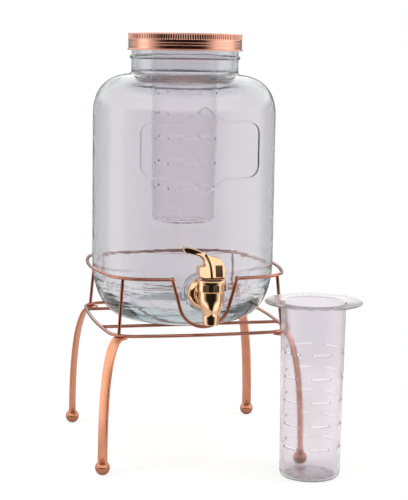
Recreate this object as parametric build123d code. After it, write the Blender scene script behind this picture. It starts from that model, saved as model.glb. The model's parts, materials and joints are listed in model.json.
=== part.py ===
from build123d import *
import math
import os

os.makedirs("parts", exist_ok=True)

# Mason jar drink dispenser. Millimetres, +Z up, the tap looks along -Y.
# The origin is on the table, under the jar's axis.

# Sizes that others follow
jar_r = 107.0
rim_z = 484.0
neck_r = 62.4

# Stand: wire, rings, loop, bars, posts
wire_r = 1.9
low_ring_z = 154.2
low_half_x = jar_r - 0.1
low_half_y = jar_r + 7.0
low_bulge = 4.0
low_corner_r = 29.0
high_ring_z = 217.7
high_half_x = jar_r + 3.6
high_half_y = jar_r + 10.4
high_bulge = 9.0
high_corner_r = 42.0
loop_half_gap = 37.0
loop_r = 29.0
loop_bottom_z = 163.8
weld_r = 2.8
bar_front_y = -48.6
bar_back_y = 66.9

# Stand: legs and ball feet
leg_width = 13.0
leg_thick = 3.2
leg_tail = 8.0
foot_x = jar_r + 7.5
foot_y = jar_r + 9.5
foot_r = 8.35
foot_flat_cut = 0.25
foot_neck_r = 4.6
foot_neck_h = 3.0

# Jar
jar_wall = 5.0
jar_floor = 10.0
base_r = 60.0
base_push_up = 4.0
heel_z = 70.0
neck_z = rim_z - 38.0
shoulder_rise = 50.0
shoulder_z = neck_z - shoulder_rise
mouth_r = neck_r - 7.1
bead_z = rim_z - 22.5
bead_r = 2.4
thread_z = rim_z - 8.0
thread_r = 2.2

# Lid
flange_t = 2.0
seal_t = 1.2
seal_in_r = mouth_r - 5.3
seal_out_r = neck_r - 2.4
disc_t = 0.8
disc_r = neck_r - 0.9
band_r = neck_r + 3.8
band_wall = 1.0
band_h = 19.6
band_lip_r = neck_r - 10.4
band_rim_r = 1.1
band_bead_r = 0.7
band_knurl_h = 7.5

# Infusers
tube_wall = 2.0
large_len = 216.0
large_top_r = 39.5
large_low_r = 37.2
large_flange_r = neck_r - 1.6
large_first_slit = 60.0
large_slit_pitch = 28.8
small_len = 198.0
small_top_r = 35.8
small_low_r = 33.7
small_flange_r = 54.0
small_first_slit = 54.7
small_slit_pitch = 26.5
small_gap = 1.0
small_x = foot_x - 1.5
small_y = -(foot_y + foot_r + small_gap + small_low_r)
tube_corner = 7.0
slit_rows = 5
slits_round = 6
slit_w = 22.0
slit_h = 1.6
slit_turn = 1.0

# Tap
tap_z = 201.6
tap_reach = 38.5
pad_r = 21.5
pad_raise = 0.8
pad_t = 6.5
pad_depth = 12.5
spot_r = 16.5
hole_r = 8.25
shank_r = 7.9
shank_bore_r = 4.5
gasket_t = 2.5
gasket_r = 15.0
inner_gasket_t = 2.5
washer_t = 1.5
nut_t = 7.0
nut_across = 25.0
shank_end = 3.0
flange_r = 19.0
flange_depth = 8.0
tap_neck_r = 8.0
collar_r = 11.0
barrel_r = 14.0
barrel_top_z = 209.9
barrel_taper_z = 203.0
spout_top_z = 183.0
spout_top_r = 9.5
spout_r = 8.8
spout_z = 172.0
chamber_r = 9.4
seat_z = 190.0
outlet_r = 5.0
bonnet_r = 15.8
bonnet_h = 12.4
bonnet_notches = 8
notch_w = 6.2
notch_h = 7.7
notch_depth = 1.1
notch_turn = 6.5
bonnet_skirt = 6.0
run_gap = 0.06
stem_r = 3.0
seal_r = 7.6
seal_h = 4.0
spring_wire = 0.9
spring_r = 5.2
spring_turns = 4.0
washer_r = 11.0
thrust_t = 1.2
pin_r = 1.5
pin_up = 8.5
tongue_half = 2.0
tongue_r = 4.5
shoulder_drop = 2.5
fork_gap = 0.3
lever_half = 6.5
lever_reach = 30.5
lever_rise = 35.4
hood_half = 10.5
hood_foot = 2.0
hood_top_half = 3.8
pin_half = 5.0
groove_w = 2.6
cut_low_half = 6.3
cut_top_half = 3.0

pad_face_y = -(jar_r + pad_raise)
low_top_z = low_ring_z + wire_r
jar_base_z = low_top_z
flange_top_z = rim_z + flange_t
seal_top_z = flange_top_z + seal_t
disc_top_z = seal_top_z + disc_t
band_top_z = disc_top_z + band_wall
tap_y = pad_face_y - tap_reach
flange_back_y = pad_face_y - gasket_t
inner_face_y = pad_face_y + pad_t
bonnet_top_z = barrel_top_z + bonnet_h
thrust_top_z = bonnet_top_z + thrust_t
pin_z = thrust_top_z + pin_up


# Rounded ring outline: four bulged sides and four corner arcs, all tangent
def ring_arcs(half_x, half_y, bulge, corner_r):
    kx = half_x - bulge - corner_r
    ky = half_y - bulge - corner_r
    reach = (corner_r + bulge) ** 2 - corner_r**2
    side_y_r = (kx**2 + reach) / (2 * bulge)
    side_x_r = (ky**2 + reach) / (2 * bulge)
    return kx, ky, side_x_r, side_y_r


def ring_corner(half_x, half_y, bulge, corner_r):
    kx, ky, _, _ = ring_arcs(half_x, half_y, bulge, corner_r)
    return kx + corner_r * math.sqrt(0.5), ky + corner_r * math.sqrt(0.5)


def ring_side_x(y, half_x, half_y, bulge, corner_r):
    _, _, side_x_r, _ = ring_arcs(half_x, half_y, bulge, corner_r)
    return half_x - side_x_r + math.sqrt(side_x_r**2 - y**2)


def ring_front_y(x, half_x, half_y, bulge, corner_r):
    _, _, _, side_y_r = ring_arcs(half_x, half_y, bulge, corner_r)
    return -(half_y - side_y_r + math.sqrt(side_y_r**2 - x**2))


def ring_path(z, half_x, half_y, bulge, corner_r):
    kx, ky, side_x_r, side_y_r = ring_arcs(half_x, half_y, bulge, corner_r)
    k = Vector(kx, ky, z)
    sy = (k - Vector(0, half_y - side_y_r, z)).normalized()
    sx = (k - Vector(half_x - side_x_r, 0, z)).normalized()
    ty = k + sy * corner_r
    tx = k + sx * corner_r
    mid = k + (sx + sy).normalized() * corner_r

    def flip(p, fx, fy):
        return Vector(p.X * fx, p.Y * fy, p.Z)

    edges = []
    for fx, fy in ((1, 1), (-1, 1), (-1, -1), (1, -1)):
        edges.append(ThreePointArc(flip(tx, fx, fy), flip(mid, fx, fy), flip(ty, fx, fy)))
    for fy in (1, -1):
        edges.append(ThreePointArc(flip(ty, -1, fy), Vector(0, fy * half_y, z), flip(ty, 1, fy)))
    for fx in (1, -1):
        edges.append(ThreePointArc(flip(tx, fx, -1), Vector(fx * half_x, 0, z), flip(tx, fx, 1)))
    return Wire([e.edge() for e in edges])


def wire_along(path, r):
    start = Plane(origin=path @ 0, z_dir=path % 0)
    return sweep(start * Circle(r), path=path)


def rod(a, b, r):
    a = Vector(*a)
    b = Vector(*b)
    return extrude(Plane(origin=a, z_dir=b - a) * Circle(r), (b - a).length)


low_ring_size = (low_half_x, low_half_y, low_bulge, low_corner_r)
high_ring_size = (high_half_x, high_half_y, high_bulge, high_corner_r)


def make_lower_ring():
    return wire_along(ring_path(low_ring_z, *low_ring_size), wire_r)


def make_tap_loop():
    y = ring_front_y(loop_half_gap, *high_ring_size)
    centre_z = loop_bottom_z + loop_r
    rise = high_ring_z - centre_z
    span = math.hypot(loop_half_gap, rise)
    turn = math.atan2(rise, loop_half_gap) - math.acos(loop_r / span)
    touch = (loop_r * math.cos(turn), centre_z + loop_r * math.sin(turn))
    top_left = (-loop_half_gap, y, high_ring_z)
    top_right = (loop_half_gap, y, high_ring_z)
    low_left = (-touch[0], y, touch[1])
    low_right = (touch[0], y, touch[1])
    path = Wire([
        Line(top_left, low_left).edge(),
        ThreePointArc(low_left, (0, y, loop_bottom_z), low_right).edge(),
        Line(low_right, top_right).edge(),
    ])
    loop = wire_along(path, wire_r)
    for p in (top_left, top_right):
        loop += Pos(*p) * Sphere(weld_r)
    return loop


def make_upper_ring(loop):
    ring = wire_along(ring_path(high_ring_z, *high_ring_size), wire_r)
    gap = Box(2 * loop_half_gap, high_half_y, 10 * wire_r)
    ring -= Pos(0, -high_half_y, high_ring_z) * gap
    return ring - loop


def make_crossbar(y, ring):
    x = ring_side_x(y, *low_ring_size) - 0.1 * wire_r
    return rod((-x, y, low_ring_z), (x, y, low_ring_z), wire_r) - ring


def make_post(sx, sy, low_ring, high_ring):
    lx, ly = ring_corner(*low_ring_size)
    hx, hy = ring_corner(*high_ring_size)
    post = rod((sx * lx, sy * ly, low_ring_z), (sx * hx, sy * hy, high_ring_z), wire_r)
    return post - low_ring - high_ring


# Leg: a strip welded under the ring's corner, bent outwards and down to its foot
def make_leg(sx, sy):
    cx, cy = ring_corner(*low_ring_size)
    reach = math.hypot(foot_x - cx, foot_y - cy)
    top = low_ring_z - wire_r - leg_thick / 2
    bottom = foot_r + foot_r * 0.45
    drop = top - bottom
    out = Vector(sx * (foot_x - cx), sy * (foot_y - cy), 0).normalized()

    def at(s, z):
        return Vector(sx * cx, sy * cy, z) + out * s

    bend = Spline(
        at(0, top),
        at(0.43 * reach, top - 0.105 * drop),
        at(0.70 * reach, top - 0.205 * drop),
        at(0.88 * reach, top - 0.37 * drop),
        at(reach, bottom),
        tangents=(out, Vector(0, 0, -1)),
    )
    path = Wire([Line(at(-leg_tail, top), at(0, top)).edge(), bend.edge()])
    side = Vector(0, 0, 1).cross(out)
    section = Plane(origin=path @ 0, x_dir=side, z_dir=out) * Rectangle(leg_width, leg_thick)
    return sweep(section, path=path)


def make_foot(sx, sy, leg):
    z = foot_r - foot_flat_cut
    ball = Pos(sx * foot_x, sy * foot_y, z) * Sphere(foot_r)
    neck = Cylinder(foot_neck_r, foot_neck_h, align=(Align.CENTER, Align.CENTER, Align.MIN))
    ball += Pos(sx * foot_x, sy * foot_y, z + foot_r - 1.2) * neck
    ball -= Pos(sx * foot_x, sy * foot_y, -foot_r) * Box(4 * foot_r, 4 * foot_r, 2 * foot_r)
    return ball - leg


# Jar: the outer and inner walls are revolved, then the tap pad and hole are added
def make_jar():
    low = jar_base_z
    floor = low + jar_floor
    straight = low + heel_z
    in_r = jar_r - jar_wall
    base_mid = base_r + 0.575 * (jar_r - base_r)
    base = Bezier((base_r, low), (base_mid, low), (jar_r, low + 0.314 * heel_z), (jar_r, straight))
    wall = Line((jar_r, straight), (jar_r, shoulder_z))
    neck_in = neck_r + 3.5
    shoulder_mid = jar_r - 0.41 * (jar_r - neck_in)
    slope = Bezier(
        (jar_r, shoulder_z), (jar_r, shoulder_z + 0.58 * shoulder_rise),
        (shoulder_mid, neck_z - 6), (neck_in, neck_z - 4),
    )
    fillet_up = ThreePointArc((neck_in, neck_z - 4), (neck_r + 1.0, neck_z - 2.8), (neck_r, neck_z))
    neck = Line((neck_r, neck_z), (neck_r, rim_z - 1.5))
    lip = Bezier((neck_r, rim_z - 1.5), (neck_r, rim_z), (neck_r - 1.5, rim_z))
    top = Line((neck_r - 1.5, rim_z), (mouth_r + 1.0, rim_z))
    lip_in = Bezier((mouth_r + 1.0, rim_z), (mouth_r, rim_z), (mouth_r, rim_z - 1.0))
    throat = Line((mouth_r, rim_z - 1.0), (mouth_r, neck_z - 6))
    slope_in = Bezier(
        (mouth_r, neck_z - 6), (mouth_r + 14, neck_z - 13),
        (in_r, shoulder_z + 0.48 * shoulder_rise), (in_r, shoulder_z - 4),
    )
    wall_in = Line((in_r, shoulder_z - 4), (in_r, straight))
    base_in = Bezier((in_r, straight), (in_r, low + 0.4 * heel_z), (base_mid - 5, floor), (base_r - 8, floor))
    floor_in = Line((base_r - 8, floor), (0, floor))
    axis = Line((0, floor), (0, low + base_push_up))
    under = ThreePointArc((0, low + base_push_up), (base_r * 0.6, low + base_push_up * 0.6), (base_r - 6, low))
    ring = Line((base_r - 6, low), (base_r, low))
    outline = [base, wall, slope, fillet_up, neck, lip, top, lip_in, throat, slope_in, wall_in]
    outline += [base_in, floor_in, axis, under, ring]
    face = make_face(Wire([e.edge() for e in outline]))
    jar = revolve(Plane.XZ * face, Axis.Z, 360)

    for z, r in ((bead_z, bead_r), (thread_z, thread_r)):
        jar += Pos(0, 0, z) * Torus(neck_r, r)

    across = Plane(origin=(0, pad_face_y, tap_z), x_dir=(1, 0, 0), z_dir=(0, 1, 0))
    inside = Plane(origin=(0, inner_face_y, tap_z), x_dir=(1, 0, 0), z_dir=(0, 1, 0))
    jar += extrude(across * Circle(pad_r), pad_depth)
    jar -= extrude(inside * Circle(spot_r), 30)
    jar -= extrude(across * Circle(hole_r), 3 * pad_depth)
    return jar


# Infuser: a flanged tube, open at the top, with rows of slits that go through opposite walls
def make_infuser(length, top_r, low_r, rim_r, first_slit, slit_pitch, x, y, z):
    top = z + length
    under = top - flange_t
    inner_r = low_r - tube_wall
    floor = z + tube_wall
    bend = tube_corner - tube_wall
    edges = [
        Line((0, z), (low_r - tube_corner, z)),
        Bezier((low_r - tube_corner, z), (low_r, z), (low_r, z + tube_corner)),
        Line((low_r, z + tube_corner), (top_r, under)),
        Line((top_r, under), (rim_r, under)),
        Line((rim_r, under), (rim_r, top)),
        Line((rim_r, top), (top_r - tube_wall, top)),
        Line((top_r - tube_wall, top), (inner_r, floor + bend)),
        Bezier((inner_r, floor + bend), (inner_r, floor), (inner_r - bend, floor)),
        Line((inner_r - bend, floor), (0, floor)),
        Line((0, floor), (0, z)),
    ]
    face = make_face(Wire([e.edge() for e in edges]))
    tube = revolve(Plane.XZ * face, Axis.Z, 360)
    for row in range(slit_rows):
        for i in range(slits_round // 2):
            turn = slit_turn + i * 360 / slits_round
            slit = Box(slit_w, 4 * top_r, slit_h)
            tube -= Pos(0, 0, top - first_slit - row * slit_pitch) * Rot(0, 0, turn) * slit
    return Pos(x, y, 0) * tube


def tube_ring(z0, z1, r_out, r_in):
    low = (Align.CENTER, Align.CENTER, Align.MIN)
    body = Cylinder(r_out, z1 - z0, align=low)
    if r_in > 0:
        body -= Cylinder(r_in, z1 - z0, align=low)
    return Pos(0, 0, z0) * body


def make_lid_seal():
    return tube_ring(flange_top_z, seal_top_z, seal_out_r, seal_in_r)


def make_lid_disc():
    disc = tube_ring(seal_top_z, disc_top_z, disc_r, 0)
    raised = tube_ring(disc_top_z, disc_top_z + 0.6, band_lip_r - 5, band_lip_r - 8)
    return disc + raised


# Screw band: skirt, lip over the disc, two beads and a rolled lower rim
def make_band():
    low = band_top_z - band_h
    band = tube_ring(low, band_top_z, band_r, band_r - band_wall)
    band += tube_ring(disc_top_z, band_top_z, band_r, band_lip_r)
    knurl_z = band_top_z - band_knurl_h
    for drop in (3.6, 6.8):
        band += Pos(0, 0, knurl_z - drop) * Torus(band_r, band_bead_r)
    band += Pos(0, 0, low + band_rim_r) * Torus(band_r - 0.1, band_rim_r)
    return band - tube_ring(low - 5, disc_top_z, band_r - band_wall, 0)


# Everything on the tap's cross axis is turned about this line
def cross_disc(y0, y1, r, z=tap_z):
    plane = Plane(origin=(0, y0, z), x_dir=(1, 0, 0), z_dir=(0, -1 if y1 < y0 else 1, 0))
    return extrude(plane * Circle(r), abs(y1 - y0))


def upright(z0, z1, r):
    low = (Align.CENTER, Align.CENTER, Align.MIN)
    return Pos(0, tap_y, z0) * Cylinder(r, z1 - z0, align=low)


nut_back_y = inner_face_y + inner_gasket_t + washer_t
shank_end_y = nut_back_y + nut_t + shank_end


def make_tap_body():
    dome = flange_r - 6
    back = flange_back_y
    face_y = back - flange_depth
    profile = [
        Line((0, back), (flange_r, back)).edge(),
        Line((flange_r, back), (flange_r, back - 2)).edge(),
        Bezier((flange_r, back - 2), (flange_r, back - 6), (dome + 2, face_y), (dome, face_y)).edge(),
        Line((dome, face_y), (0, face_y)).edge(),
        Line((0, face_y), (0, back)).edge(),
    ]
    flange = revolve(make_face(Wire(profile)), Axis.Y, 360)
    body = Pos(0, 0, tap_z) * flange
    body += cross_disc(face_y, face_y - 2.5, collar_r)
    body += cross_disc(face_y - 2.5, tap_y, tap_neck_r)
    side = [
        Line((0, barrel_top_z), (barrel_r, barrel_top_z)).edge(),
        Line((barrel_r, barrel_top_z), (barrel_r, barrel_taper_z)).edge(),
        Bezier(
            (barrel_r, barrel_taper_z), (barrel_r - 0.3, barrel_taper_z - 9),
            (spout_top_r + 1.8, spout_top_z + 6.5), (spout_top_r, spout_top_z),
        ).edge(),
        Line((spout_top_r, spout_top_z), (spout_r, spout_z)).edge(),
        Line((spout_r, spout_z), (0, spout_z)).edge(),
        Line((0, spout_z), (0, barrel_top_z)).edge(),
    ]
    barrel = revolve(Plane.XZ * make_face(Wire(side)), Axis.Z, 360)
    body += Pos(0, tap_y, 0) * barrel
    body += cross_disc(flange_back_y, shank_end_y, shank_r)
    body -= upright(seat_z, barrel_top_z, chamber_r)
    body -= upright(spout_z, seat_z, outlet_r)
    body -= upright(barrel_top_z, barrel_top_z + 2 * bonnet_h, barrel_r + 4)
    return body - cross_disc(tap_y, shank_end_y, shank_bore_r)


# Bonnet nut: a round collar with square notches round its lower half, and a skirt in the barrel
def make_bonnet_nut():
    nut = upright(barrel_top_z, bonnet_top_z, bonnet_r)
    rim = nut.edges().filter_by(GeomType.CIRCLE).sort_by(Axis.Z)[-1]
    nut = chamfer(rim, 1.2)
    for i in range(bonnet_notches):
        turn = notch_turn + i * 360 / bonnet_notches
        notch = Pos(0, -bonnet_r, notch_h / 2 - 1) * Box(notch_w, 2 * notch_depth, notch_h + 2)
        nut -= Pos(0, tap_y, barrel_top_z) * Rot(0, 0, turn) * notch
    nut += upright(barrel_top_z - bonnet_skirt, barrel_top_z, chamber_r)
    return nut - upright(barrel_top_z - bonnet_skirt, bonnet_top_z, stem_r + run_gap)


def make_thrust_washer():
    return upright(bonnet_top_z, thrust_top_z, washer_r) - upright(bonnet_top_z, thrust_top_z, stem_r + run_gap)


def make_valve_stem():
    shoulder_z = thrust_top_z - shoulder_drop
    stem = upright(seat_z + seal_h, shoulder_z, stem_r)
    low = (Align.CENTER, Align.CENTER, Align.MIN)
    stem += Pos(0, tap_y, shoulder_z) * Box(2 * tongue_half, 2 * tongue_half, pin_z - shoulder_z, align=low)
    stem += cross_disc(tap_y - tongue_half, tap_y + tongue_half, tongue_r, pin_z)
    return stem - cross_disc(tap_y - 5, tap_y + 5, pin_r + run_gap, pin_z)


def make_valve_seal():
    low = (Align.CENTER, Align.CENTER, Align.MIN)
    seal = upright(seat_z, seat_z + seal_h / 2, seal_r)
    return seal + Pos(0, tap_y, seat_z + seal_h / 2) * Cone(seal_r, seal_r - 2, seal_h / 2, align=low)


def make_valve_spring():
    low = seat_z + seal_h + spring_wire / 2
    high = barrel_top_z - bonnet_skirt - spring_wire / 2
    path = Helix(pitch=(high - low) / spring_turns, height=high - low, radius=spring_r)
    start = Plane(origin=path @ 0, z_dir=path % 0)
    coil = sweep(start * Circle(spring_wire / 2), path=path, is_frenet=True)
    return Pos(0, tap_y, low) * coil


# The pin is pressed in blind before plating, so neither end shows
def make_lever_pin():
    return cross_disc(tap_y - pin_half, tap_y + pin_half, pin_r, pin_z)


# Bar along X whose front and back lean together: the lever's hood, or the core its cuts end on
def leaning_bar(low, high):
    heel = thrust_top_z
    bend = heel + 0.72 * lever_rise
    peak = heel + lever_rise
    side = Polyline(
        (-low, heel - hood_foot), (-low, heel + hood_foot), (-high, bend), (-high, peak),
        (high, peak), (high, bend), (low, heel + hood_foot), (low, heel - hood_foot),
        close=True,
    )
    prism = extrude(Plane.YZ * make_face(side.wire()), 2 * lever_reach, both=True)
    return Pos(0, tap_y, 0) * prism


def lever_blank(outline, half):
    side = Plane(origin=(0, tap_y + half, 0), x_dir=(1, 0, 0), z_dir=(0, -1, 0))
    return extrude(side * outline, 2 * half)


# Lever: a hood forked over the stem, with a groove and a window on each face, and a flat blade
def make_lever():
    heel = thrust_top_z

    def p(x, up):
        return (x * lever_reach, heel + up * lever_rise)

    outline = [
        Spline(p(-1.0, 1.0), p(-0.77, 0.966), p(-0.492, 0.881), p(-0.239, 0.771), p(0.049, 0.689),
               tangents=((1, 0), (1, -0.25))).edge(),
        Spline(p(0.049, 0.689), p(0.243, 0.633), p(0.374, 0.508), p(0.42, 0.282),
               tangents=((1, -0.25), (0.05, -1))).edge(),
        Line(p(0.42, 0.282), p(0.42, 0.042)).edge(),
        Line(p(0.42, 0.042), p(0.37, 0)).edge(),
        Line(p(0.37, 0), p(-0.23, 0)).edge(),
        Line(p(-0.23, 0), p(-0.508, 0.09)).edge(),
        Line(p(-0.508, 0.09), p(-0.508, 0.384)).edge(),
        Line(p(-0.508, 0.384), p(-0.269, 0.412)).edge(),
        Spline(p(-0.269, 0.412), p(-0.354, 0.582), p(-0.508, 0.706), p(-0.852, 0.785),
               tangents=((0, 1), (-1, 0.05))).edge(),
        Spline(p(-0.852, 0.785), p(-1.069, 0.836), p(-1.0, 1.0), tangents=((-1, 0.05), (1, 0))).edge(),
    ]
    face = make_face(Wire(outline))
    hood = lever_blank(face, hood_half) & leaning_bar(hood_half, hood_top_half)
    blade_zone = Box(lever_reach, 2 * lever_half, lever_rise)
    blade_zone = Pos(-0.62 * lever_reach, tap_y, heel + 0.75 * lever_rise) * blade_zone
    lever = hood + (lever_blank(face, lever_half) & blade_zone)
    groove = trace(Spline(p(-0.279, 0.734), p(-0.138, 0.523), p(-0.085, 0.254), p(-0.079, -0.028)), groove_w)
    window = Pos(*p(0.2, 0.243)) * Rectangle(0.262 * lever_reach, 0.373 * lever_rise)
    lever -= lever_blank(groove + window, 2 * hood_half) - leaning_bar(cut_low_half, cut_top_half)
    low = (Align.CENTER, Align.CENTER, Align.MIN)
    slot = Box(4 * tongue_r, 2 * (tongue_half + fork_gap), pin_up + 1.55 * tongue_r, align=low)
    lever -= Pos(0, tap_y, heel) * slot
    return lever - cross_disc(tap_y - pin_half, tap_y + pin_half, pin_r, pin_z)


def make_outer_gasket():
    return cross_disc(pad_face_y, flange_back_y, gasket_r) - cross_disc(pad_face_y, flange_back_y, shank_r)


def make_inner_ring(y0, y1, r):
    return cross_disc(y0, y1, r) - cross_disc(y0, y1, shank_r)


def make_shank_nut():
    plane = Plane(origin=(0, nut_back_y, tap_z), x_dir=(1, 0, 0), z_dir=(0, 1, 0))
    nut = extrude(plane * RegularPolygon(nut_across / 2, 6, major_radius=False), nut_t)
    return nut - cross_disc(nut_back_y, nut_back_y + nut_t, shank_r)


def save(name, shape):
    export_step(shape, f"parts/{name}.step")
    print(name, round(shape.volume / 1000, 2), "cm3", len(shape.solids()), "solid(s)")


def build_stand():
    low_ring = make_lower_ring()
    loop = make_tap_loop()
    high_ring = make_upper_ring(loop)
    save("lower_ring", low_ring)
    save("tap_loop", loop)
    save("upper_ring", high_ring)
    save("crossbar_front", make_crossbar(bar_front_y, low_ring))
    save("crossbar_back", make_crossbar(bar_back_y, low_ring))
    for end, sy in (("front", -1), ("back", 1)):
        for side, sx in (("left", -1), ("right", 1)):
            save(f"post_{end}_{side}", make_post(sx, sy, low_ring, high_ring))
            leg = make_leg(sx, sy)
            save(f"leg_{end}_{side}", leg)
            save(f"foot_{end}_{side}", make_foot(sx, sy, leg))


def build_jar():
    save("glass_jar", make_jar())
    large = (large_len, large_top_r, large_low_r, large_flange_r, large_first_slit, large_slit_pitch)
    small = (small_len, small_top_r, small_low_r, small_flange_r, small_first_slit, small_slit_pitch)
    save("large_infuser", make_infuser(*large, 0, 0, flange_top_z - large_len))
    save("small_infuser", make_infuser(*small, small_x, small_y, 0))
    save("lid_seal", make_lid_seal())
    save("lid_disc", make_lid_disc())
    save("screw_band", make_band())


def build_tap():
    save("tap_body", make_tap_body())
    save("bonnet_nut", make_bonnet_nut())
    save("thrust_washer", make_thrust_washer())
    save("valve_stem", make_valve_stem())
    save("valve_seal", make_valve_seal())
    save("valve_spring", make_valve_spring())
    save("lever", make_lever())
    save("lever_pin", make_lever_pin())
    save("outer_gasket", make_outer_gasket())
    gasket_end = inner_face_y + inner_gasket_t
    save("inner_gasket", make_inner_ring(inner_face_y, gasket_end, gasket_r))
    save("inner_washer", make_inner_ring(gasket_end, nut_back_y, gasket_r))
    save("shank_nut", make_shank_nut())


build_stand()
build_jar()
build_tap()
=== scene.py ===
import bpy
import json
import math
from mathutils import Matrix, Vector


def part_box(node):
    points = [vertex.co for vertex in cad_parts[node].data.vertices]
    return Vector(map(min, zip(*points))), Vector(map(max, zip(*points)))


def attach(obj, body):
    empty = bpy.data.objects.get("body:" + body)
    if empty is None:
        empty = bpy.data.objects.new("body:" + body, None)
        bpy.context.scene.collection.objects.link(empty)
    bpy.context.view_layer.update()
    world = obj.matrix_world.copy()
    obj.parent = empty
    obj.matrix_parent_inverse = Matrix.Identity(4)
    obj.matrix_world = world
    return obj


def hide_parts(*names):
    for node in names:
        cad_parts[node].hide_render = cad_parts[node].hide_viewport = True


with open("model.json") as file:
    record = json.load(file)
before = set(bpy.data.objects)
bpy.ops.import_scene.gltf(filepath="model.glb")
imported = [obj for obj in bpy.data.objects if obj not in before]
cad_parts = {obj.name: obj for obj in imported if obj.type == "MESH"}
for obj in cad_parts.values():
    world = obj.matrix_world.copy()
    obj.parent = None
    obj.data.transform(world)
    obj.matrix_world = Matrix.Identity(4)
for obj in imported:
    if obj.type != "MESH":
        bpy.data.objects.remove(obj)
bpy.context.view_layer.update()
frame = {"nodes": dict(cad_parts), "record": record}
nodes = frame["nodes"]
print("frame loaded,", len(nodes), "nodes")


# Drawing helpers, metres
def clearSelection():
    if bpy.context.mode != "OBJECT":
        bpy.ops.object.mode_set(mode="OBJECT")
    bpy.ops.object.select_all(action="DESELECT")


def activate(piece):
    clearSelection()
    piece.select_set(True)
    bpy.context.view_layer.objects.active = piece


mergeGap = 2e-6  # corners closer than this become one


# Draws a line of edges by extruding one vertex from point to point, and stays in edit mode
def drawLine(name, points):
    clearSelection()
    bpy.ops.mesh.primitive_plane_add(size=0.01)
    piece = bpy.context.object
    piece.name = name
    bpy.ops.object.mode_set(mode="EDIT")
    bpy.ops.mesh.select_mode(type="VERT")
    bpy.ops.mesh.select_all(action="SELECT")
    bpy.ops.mesh.merge(type="CENTER")
    here = Vector(points[0])
    bpy.ops.transform.translate(value=here)
    for point in points[1:]:
        step = Vector(point) - here
        bpy.ops.mesh.extrude_vertices_move(TRANSFORM_OT_translate={"value": step})
        here = Vector(point)
    return piece


def cleanMesh():
    bpy.ops.mesh.select_all(action="SELECT")
    bpy.ops.mesh.remove_doubles(threshold=mergeGap)
    bpy.ops.mesh.normals_make_consistent(inside=False)
    bpy.ops.object.mode_set(mode="OBJECT")


# Turned piece: a closed (radius, height) outline spun about an upright axis
def turned(name, outline, steps, centre=(0, 0, 0)):
    cx, cy, cz = centre
    piece = drawLine(name, [(cx + r, cy, cz + z) for r, z in outline])
    bpy.ops.mesh.select_all(action="SELECT")
    bpy.ops.mesh.spin(steps=steps, angle=2 * math.pi, center=centre, axis=(0, 0, 1))
    cleanMesh()
    return piece


# Closed flat outline, filled and drawn out
def slab(name, points, way):
    piece = drawLine(name, points)
    bpy.ops.mesh.select_all(action="SELECT")
    bpy.ops.mesh.edge_face_add()
    bpy.ops.mesh.extrude_region_move(TRANSFORM_OT_translate={"value": way})
    cleanMesh()
    return piece


def rounded(piece, width, segments=3, angle=30):
    activate(piece)
    change = piece.modifiers.new("edges", "BEVEL")
    change.width = width
    change.segments = segments
    change.limit_method = "ANGLE"
    change.angle_limit = math.radians(angle)
    bpy.ops.object.modifier_apply(modifier=change.name)
    return piece


# Wire or rod: a line of points given a round section
def piped(name, points, radius, closed=False):
    piece = drawLine(name, points + points[:1] if closed else points)
    bpy.ops.mesh.select_all(action="SELECT")
    bpy.ops.mesh.remove_doubles(threshold=mergeGap)
    bpy.ops.object.mode_set(mode="OBJECT")
    bpy.ops.object.convert(target="CURVE")
    piece.data.bevel_depth = radius
    piece.data.bevel_resolution = 4
    piece.data.use_fill_caps = not closed
    bpy.ops.object.convert(target="MESH")
    bpy.ops.object.mode_set(mode="EDIT")
    cleanMesh()
    return piece


def combine(piece, other, operation):
    activate(piece)
    change = piece.modifiers.new("combine", "BOOLEAN")
    change.object = other
    change.operation = operation
    change.solver = "EXACT"
    bpy.ops.object.modifier_apply(modifier=change.name)
    bpy.data.objects.remove(other, do_unlink=True)


# One cast skin over joined forms, with softened corners
def castSkin(piece, grain, softness):
    activate(piece)
    cast = piece.modifiers.new("cast", "REMESH")
    cast.mode = "VOXEL"
    cast.voxel_size = grain
    bpy.ops.object.modifier_apply(modifier=cast.name)
    soft = piece.modifiers.new("soft", "SMOOTH")
    soft.factor = 0.5
    soft.iterations = softness
    bpy.ops.object.modifier_apply(modifier=soft.name)


def joined(pieces):
    activate(pieces[0])
    for other in pieces[1:]:
        other.select_set(True)
    bpy.ops.object.join()
    return pieces[0]


def placed(piece, slotName, body, replaced, smooth=35):
    activate(piece)
    bpy.ops.object.shade_smooth_by_angle(angle=math.radians(smooth))
    piece.data.materials.clear()
    piece.data.materials.append(materials[slotName])
    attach(piece, body)
    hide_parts(*replaced)
    return piece


def bezier(a, b, c, d, count):
    points = []
    for i in range(1, count + 1):
        t = i / count
        u = 1 - t
        points.append(tuple(
            u**3 * p + 3 * u * u * t * q + 3 * u * t * t * r + t**3 * s
            for p, q, r, s in zip(a, b, c, d)
        ))
    return points


def between(a, b, share):
    return tuple(p + (q - p) * share for p, q in zip(a, b))


def arc(centre, radius, start, end, count):
    points = []
    for i in range(count + 1):
        turn = math.radians(start + (end - start) * i / count)
        points.append((centre[0] + radius * math.cos(turn), centre[1] + radius * math.sin(turn)))
    return points


# Smooth line through points
def through(points, count):
    line = [points[0]]
    for i in range(len(points) - 1):
        before, after = points[max(i - 1, 0)], points[min(i + 2, len(points) - 1)]
        a, b = points[i], points[i + 1]
        first = tuple(q + (r - o) / 6 for o, q, r in zip(before, a, b))
        second = tuple(r - (t - q) / 6 for q, r, t in zip(a, b, after))
        line += bezier(a, first, second, b, count)
    return line


# Outline of a strip of even width along a flat line
def ribbon(line, half):
    upper, lower = [], []
    for i, point in enumerate(line):
        here = Vector(point)
        along = (Vector(line[min(i + 1, len(line) - 1)]) - Vector(line[max(i - 1, 0)])).normalized()
        normal = Vector((-along.y, along.x)) * half
        upper.append(here + normal)
        lower.append(here - normal)
    return upper + lower[::-1]


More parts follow.
